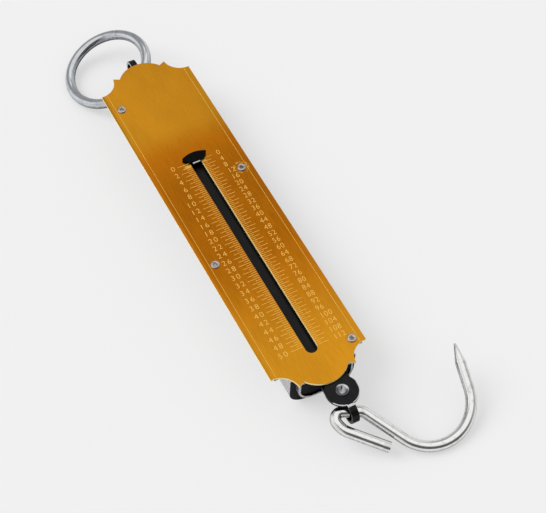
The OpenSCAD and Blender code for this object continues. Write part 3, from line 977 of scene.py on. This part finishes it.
@dataclass
class CasingGroup:
    """The trough, bright outside and painted inside, its end guide, its eyelets and the ring's strap."""

    trough_rounding: float = 0.25 * MM
    small_rounding: float = 0.12 * MM
    outward: float = 0.35
    flat_on: float = 0.8
    painted_end: float = 0.5
    bright_end: float = 1.1

    def build(self, shop: Workshop) -> None:
        """Dresses the fixed parts round the springs; a trough's bright walls take its WORN slot."""
        strapping = [shop.finishes.enamel, shop.finishes.rim, shop.finishes.wall]
        trough = [shop.finishes.shaded, shop.finishes.wall]
        casing = shop.pressed("casing", Body.CASING, trough, self.trough_rounding)
        sleeve = shop.pressed("guide_sleeve", Body.CASING, trough, self.small_rounding)
        shop.pressed("guide_bush", Body.CASING, [shop.finishes.shaded], self.small_rounding)
        # The strap's rounded edges take the lighter edge enamel: partly wear of the paint, partly a painted
        # highlight.
        strap = shop.pressed("ring_strap", Body.CASING, strapping, self.small_rounding, Slot.WORN)
        self._bare_walls(casing, self.painted_end)
        self._bare_walls(sleeve, self.bright_end)
        # Painted reflection: only the strap's flat faces towards -X take the bright wall metal, so that side
        # shows lighter.
        for face in strap.data.polygons:
            if face.normal.x < -self.flat_on:
                face.material_index = Slot.SIDE
        shop.dress("eyelet_rivets", shop.finishes.eyelet)
        for node in ("anchor_pin", "anchor_plate", "upper_plugs"):
            shop.dress(node, shop.finishes.fastener)

    def _bare_walls(self, piece: bpy.types.Object, endways: float) -> None:
        """Leaves the outward walls of a trough bright and its inside painted.

        Args:
            piece: the trough.
            endways: the endways share of a face's normal from which it is painted all the same.
        """
        corners = [Vector(corner) for corner in piece.bound_box]
        middle = (min(corner.z for corner in corners) + max(corner.z for corner in corners)) / 2
        for face in piece.data.polygons:
            outward = Vector((face.center.x, 0, face.center.z - middle)).normalized()
            leans = abs(face.normal.y)
            if leans < endways and (face.normal.dot(outward) > self.outward or leans > self.flat_on):
                face.material_index = Slot.WORN


@dataclass
class CoilSpring:
    """One closely wound draw spring between casing and slider."""

    node: str
    wire: float = 1.65 * MM
    coil: float = 11.8 * MM
    turns: int = 20
    gap: float = 0.43 * MM
    steps: int = 28
    sides: int = 10

    def build(self, shop: Workshop) -> None:
        """Winds the wire by a screwed spin in the CAD spring's place."""
        low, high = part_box(self.node)
        centre = Vector(((low.x + high.x) / 2, high.y, (low.z + high.z) / 2))
        radius = self.coil / 2
        pitch = self.wire + self.gap
        mesh = bmesh.new()
        made = bmesh.ops.create_circle(mesh, segments=self.sides, radius=self.wire / 2, cap_ends=True)
        bmesh.ops.translate(mesh, vec=centre + Vector((radius, -self.wire, 0)), verts=made["verts"])
        bmesh.ops.spin(
            mesh,
            geom=mesh.faces[:] + mesh.edges[:] + mesh.verts[:],
            cent=centre,
            axis=(0, 1, 0),
            dvec=(0, -pitch / self.steps, 0),
            angle=-TURN * self.turns,
            steps=self.turns * self.steps,
            use_duplicate=False,
        )
        bmesh.ops.recalc_face_normals(mesh, faces=mesh.faces[:])
        piece = placed(mesh, self.node + "_coil", [shop.finishes.spring])
        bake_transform(piece)
        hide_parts(self.node)
        LOG.info("%s: %d faces, stretches with the slider", piece.name, len(piece.data.polygons))


@dataclass
class Slider:
    """The draw bar with its pointer, the crosshead and the springs that it pulls."""

    bar_rounding: float = 0.2 * MM
    pointer_rounding: float = 0.12 * MM
    bend_rounding: float = 0.42 * MM
    reach: float = 0.02 * MM

    def build(self, shop: Workshop) -> None:
        """Dresses the sliding parts."""
        black = [shop.finishes.enamel, shop.finishes.rim]
        shop.pressed("draw_bar", Body.SLIDER, black, self.bar_rounding)
        self._pointer(shop)
        for node in ("pointer_rivet", "crosshead", "lower_plugs"):
            shop.dress(node, shop.finishes.fastener)
        shop.dress("crosshead_rivets", shop.finishes.enamel)
        for node in ("spring_left", "spring_right"):
            CoilSpring(node).build(shop)

    def _pointer(self, shop: Workshop) -> None:
        """The pointer, with a painted glint where its head turns down into the slot."""
        mesh = shop.merged("pointer")
        low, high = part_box("pointer")
        bend = [
            edge
            for edge in mesh.edges
            if all(vert.co.y < low.y + self.reach and vert.co.z > high.z - self.reach for vert in edge.verts)
        ]
        # Painted glint along the edge where the head turns down.
        bmesh.ops.bevel(
            mesh,
            geom=bend,
            offset=self.bend_rounding,
            segments=3,
            profile=0.5,
            affect="EDGES",
            material=Slot.WORN,
        )
        materials = [shop.finishes.shaded, shop.finishes.bend]
        piece = shop.finish(mesh, "pointer_finished", Body.SLIDER, materials, ["pointer"])
        shop.soften(piece, self.pointer_rounding)


@dataclass
class Swivel:
    """The bent strap with its round front disc, and the rivet that it turns on."""

    rim: float = 0.3 * MM
    rounding: float = 0.15 * MM
    reach: float = 0.02 * MM
    rim_band: float = 0.05 * MM
    rim_drop: float = 1.5 * MM
    rim_lean: float = 0.35

    def build(self, shop: Workshop) -> None:
        """Dresses the swivel, with a painted highlight along the lower rim of its disc."""
        mesh = shop.merged("swivel_strap")
        low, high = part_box("swivel_strap")
        rivet_low, rivet_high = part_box("swivel_rivet")
        centre = (rivet_low + rivet_high) / 2
        radius = (high.x - low.x) / 2
        # Painted highlight: only the disc's lower rim gets the bright metal, where light catches it.
        brightened = [
            edge
            for edge in mesh.edges
            if all(
                vert.co.z > high.z - self.reach
                and (vert.co - centre).xy.length > radius - self.rim_band
                and vert.co.y < centre.y + (vert.co.x - centre.x) * self.rim_lean - self.rim_drop
                for vert in edge.verts
            )
        ]
        bmesh.ops.bevel(
            mesh,
            geom=brightened,
            offset=self.rim,
            segments=2,
            profile=0.5,
            affect="EDGES",
            material=Slot.WORN,
        )
        materials = [shop.finishes.enamel, shop.finishes.bend]
        piece = shop.finish(mesh, "swivel_strap_finished", Body.SWIVEL, materials, ["swivel_strap"])
        shop.soften(piece, self.rounding)
        shop.dress("swivel_rivet", shop.finishes.rivet)


class WireParts:
    """The hanging ring and the load hook, both bent from plated wire."""

    def build(self, shop: Workshop) -> None:
        """Dresses the ring and the hook."""
        shop.dress("hang_ring", shop.finishes.ring)
        shop.dress("load_hook", shop.finishes.hook)


@dataclass(frozen=True)
class Room:
    """Brightness of the studio that metal shows, by the direction that it is seen in.

    Directions are shares of X, Y and Z. A bright panel overhead gives the face its bands.
    """

    left: Span = (-0.45, -0.8)
    left_light: float = 0.62
    right: Span = (0.5, 0.85)
    right_light: float = 0.42
    wall_light: float = 0.11
    far_wall: Span = (-0.3, 0.45)
    far_wall_light: float = 0.3
    ceiling: Span = (0.67, 0.83)
    panel_height: Span = (0.68, 0.76)
    panel_across: Span = (0.0, 0.15)
    panel_along: Span = (0.3, 0.38)
    panel_light: float = 0.64
    far_band: Span = (0.572, 0.598)
    far_band_light: float = 0.62
    near_band: Span = (0.53, 0.43)
    near_band_light: float = 0.6
    under: Span = (-0.02, -0.1)
    under_light: float = 0.75

    def brightness(self, across: Signal, along: Signal, height: Signal) -> Signal:
        """The strength of the room's light.

        Args:
            across: the direction's X share.
            along: the direction's Y share.
            height: the direction's Z share.

        Returns:
            The strength, 1 for white.
        """
        sides = across.ramp(*self.left) * self.left_light + across.ramp(*self.right) * self.right_light
        walls = self.wall_light + self.far_wall_light * along.ramp(*self.far_wall) + sides
        shell = walls + (1.0 - walls) * height.ramp(*self.ceiling)
        window = (
            height.ramp(*self.panel_height) * across.ramp(*self.panel_across) * along.ramp(*self.panel_along)
        )
        panel = (
            self.panel_light
            + self.far_band_light * along.ramp(*self.far_band)
            + self.near_band_light * along.ramp(*self.near_band)
        )
        above = shell + (panel - shell) * window
        return above + (self.under_light - above) * height.ramp(*self.under)


@dataclass
class Studio:
    """The pale floor, the soft light and the camera of the photograph."""

    pixels_wide: int = 546
    pixels_high: int = 513
    focal_pixels: float = 1480.0
    centre_row: float = 248.0
    sensor: float = 36.0
    eye: Triple = (-175.45 * MM, -355.1 * MM, 546.4 * MM)
    right: Triple = (0.8866, -0.4619, 0.0233)
    up: Triple = (0.3639, 0.7278, 0.5812)
    forward: Triple = (0.2854, 0.5069, -0.8134)
    floor_half: float = 3.0
    floor_z: float = -0.05 * MM
    floor_colour: Colour = srgb(242, 242, 242)
    even_share: float = 0.6
    dome: float = 0.58
    lamp_from: Triple = (-0.8, 0.5, 0.95)
    lamp_spread: float = 0.75
    lamp_power: float = 1.75
    clip_start: float = 0.01
    clip_end: float = 20.0

    def build(self) -> None:
        """Builds the floor, the lights and the camera, and sets the view transform."""
        self._camera()
        self._floor()
        self._world()
        self._lamp()
        bpy.context.scene.view_settings.view_transform = "Standard"

    def _camera(self) -> None:
        """Sets the camera of the photograph, in the 546 by 513 frame."""
        data = bpy.data.cameras.new("photo_camera")
        data.sensor_width = self.sensor
        data.lens = self.sensor * self.focal_pixels / self.pixels_wide
        data.shift_y = (self.centre_row - self.pixels_high / 2) / self.pixels_wide
        data.clip_start = self.clip_start
        data.clip_end = self.clip_end
        camera = bpy.data.objects.new("photo_camera", data)
        bpy.context.scene.collection.objects.link(camera)
        turn = Matrix((self.right, self.up, tuple(-share for share in self.forward))).transposed()
        camera.matrix_world = Matrix.Translation(self.eye) @ turn.to_4x4()
        bpy.context.scene.camera = camera

    def _floor(self) -> None:
        """A pale matt floor that keeps the shadows and is clear from below."""
        mesh = bmesh.new()
        bmesh.ops.create_grid(mesh, x_segments=1, y_segments=1, size=self.floor_half)
        bmesh.ops.translate(mesh, vec=(0, 0, self.floor_z), verts=mesh.verts[:])
        material = bpy.data.materials.new("pale_floor")
        material.use_nodes = True
        graph = ShaderGraph(material.node_tree)
        matt = graph.node("ShaderNodeBsdfDiffuse", {}, {"Color": self.floor_colour})
        even = graph.node("ShaderNodeEmission", {}, {"Color": self.floor_colour, "Strength": 1.0})
        seen = Signal(graph, graph.node("ShaderNodeLightPath").outputs["Is Camera Ray"])
        pale = self._blend(graph, seen * self.even_share, matt, even)
        clear = graph.node("ShaderNodeBsdfTransparent")
        below = graph.node("ShaderNodeNewGeometry").outputs["Backfacing"]
        mixed = self._blend(graph, below, pale, clear)
        graph.node("ShaderNodeOutputMaterial", {}, {"Surface": mixed.outputs[0]})
        placed(mesh, "floor", [material], smooth=False)

    def _world(self) -> None:
        """A pale backdrop for the camera and a soft studio room for light and gloss."""
        world = bpy.data.worlds.new("studio")
        bpy.context.scene.world = world
        world.use_nodes = True
        graph = ShaderGraph(world.node_tree)
        path = graph.node("ShaderNodeLightPath").outputs
        aim = graph.node("ShaderNodeTexCoord").outputs["Generated"]
        parts = graph.node("ShaderNodeSeparateXYZ", {}, {0: aim}).outputs
        across, along, height = (Signal(graph, part) for part in parts)
        room = Room().brightness(across, along, height)
        white = srgb(255, 255, 255)
        gloss = graph.node("ShaderNodeBackground", {}, {"Color": white, "Strength": room})
        soft = graph.node("ShaderNodeBackground", {}, {"Color": white, "Strength": self.dome})
        seen = graph.node("ShaderNodeBackground", {}, {"Color": self.floor_colour, "Strength": 1.0})
        lit = self._blend(graph, path["Is Glossy Ray"], soft, gloss)
        mixed = self._blend(graph, path["Is Camera Ray"], lit, seen)
        graph.node("ShaderNodeOutputWorld", {}, {"Surface": mixed.outputs[0]})

    def _blend(
        self,
        graph: ShaderGraph,
        share: "Signal | bpy.types.NodeSocket",
        first: bpy.types.Node,
        second: bpy.types.Node,
    ) -> bpy.types.Node:
        """Mixes two shaders.

        Args:
            graph: the graph that they belong to.
            share: 0 for the first and 1 for the second.
            first: a shader node.
            second: a shader node.

        Returns:
            The mixing node.
        """
        return graph.node("ShaderNodeMixShader", {}, {0: share, 1: first.outputs[0], 2: second.outputs[0]})

    def _lamp(self) -> None:
        """Adds the wide even lamp, which metal doesn't show, as the room stands for it there."""
        data = bpy.data.lights.new("key_light", "SUN")
        data.angle = self.lamp_spread
        data.energy = self.lamp_power
        lamp = bpy.data.objects.new("key_light", data)
        bpy.context.scene.collection.objects.link(lamp)
        lamp.location = self.lamp_from
        lamp.rotation_mode = "QUATERNION"
        lamp.rotation_quaternion = (-Vector(self.lamp_from)).to_track_quat("-Z", "Y")
        lamp.visible_glossy = False


def main() -> None:
    """Builds the studio and every sub-assembly, and logs each one as it is built."""
    logging.basicConfig(level=logging.INFO, format="%(name)s: %(message)s")
    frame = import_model()
    shop = Workshop(frame["nodes"], Finishes.make())
    Studio().build()
    for assembly in (FacePlate(), CasingGroup(), Slider(), Swivel(), WireParts()):
        assembly.build(shop)
        LOG.info("%s is built", type(assembly).__name__)


if __name__ == "__main__":
    main()
